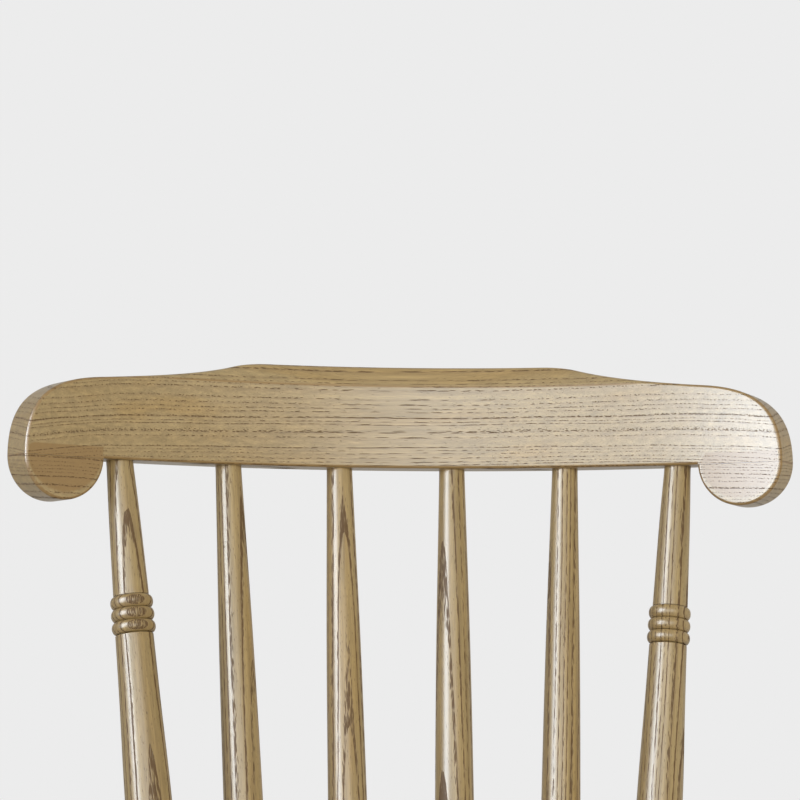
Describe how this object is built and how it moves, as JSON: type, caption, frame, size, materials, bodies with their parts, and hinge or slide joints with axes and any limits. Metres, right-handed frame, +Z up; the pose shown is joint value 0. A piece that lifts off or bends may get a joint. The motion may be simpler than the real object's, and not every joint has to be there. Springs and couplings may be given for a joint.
{
  "type": "rocking chair",
  "caption": "Spindle-back wooden rocking chair with a curved crest rail, turned posts, shaped arms, a carved seat, turned legs and bent rockers.",
  "frame": {"origin": "on the floor, halfway between the rockers and halfway along them, where their soles touch the floor", "axes": "+Z up, -Y the way the sitter faces, +X towards the sitter's left"},
  "size_m": [0.5908, 0.8112, 1.0659],
  "materials": {
    "lacquered_ash": "semi-gloss clear lacquer over olive-beige ash",
    "ash_end_grain": "lacquered end grain of pins and plugs",
    "zinc_steel": "bright zinc plate"
  },
  "bodies": {
    "root": {"arm_left": "lacquered_ash", "arm_plug_left": "ash_end_grain", "arm_plug_right": "ash_end_grain", "arm_post_left": "lacquered_ash", "arm_post_right": "lacquered_ash", "arm_right": "lacquered_ash", "arm_screw_left": "zinc_steel", "arm_screw_right": "zinc_steel", "arm_spindle_front_left": "lacquered_ash", "arm_spindle_front_right": "lacquered_ash", "arm_spindle_rear_left": "lacquered_ash", "arm_spindle_rear_right": "lacquered_ash", "back_post_left": "lacquered_ash", "back_post_right": "lacquered_ash", "back_spindle_1": "lacquered_ash", "back_spindle_2": "lacquered_ash", "back_spindle_3": "lacquered_ash", "back_spindle_4": "lacquered_ash", "barrel_nut_front_leg_left": "zinc_steel", "barrel_nut_front_leg_right": "zinc_steel", "barrel_nut_rear_leg_left": "zinc_steel", "barrel_nut_rear_leg_right": "zinc_steel", "crest_pin_left": "ash_end_grain", "crest_pin_right": "ash_end_grain", "crest_rail": "lacquered_ash", "ear_block_left": "lacquered_ash", "ear_block_right": "lacquered_ash", "front_leg_left": "lacquered_ash", "front_leg_right": "lacquered_ash", "front_stretcher_lower": "lacquered_ash", "front_stretcher_upper": "lacquered_ash", "rear_leg_left": "lacquered_ash", "rear_leg_right": "lacquered_ash", "rear_stretcher": "lacquered_ash", "rocker_bolt_front_leg_left": "zinc_steel", "rocker_bolt_front_leg_right": "zinc_steel", "rocker_bolt_rear_leg_left": "zinc_steel", "rocker_bolt_rear_leg_right": "zinc_steel", "rocker_left": "lacquered_ash", "rocker_right": "lacquered_ash", "seat": "lacquered_ash", "side_stretcher_lower_left": "lacquered_ash", "side_stretcher_lower_right": "lacquered_ash", "side_stretcher_upper_left": "lacquered_ash", "side_stretcher_upper_right": "lacquered_ash"}
  },
  "joints": []
}
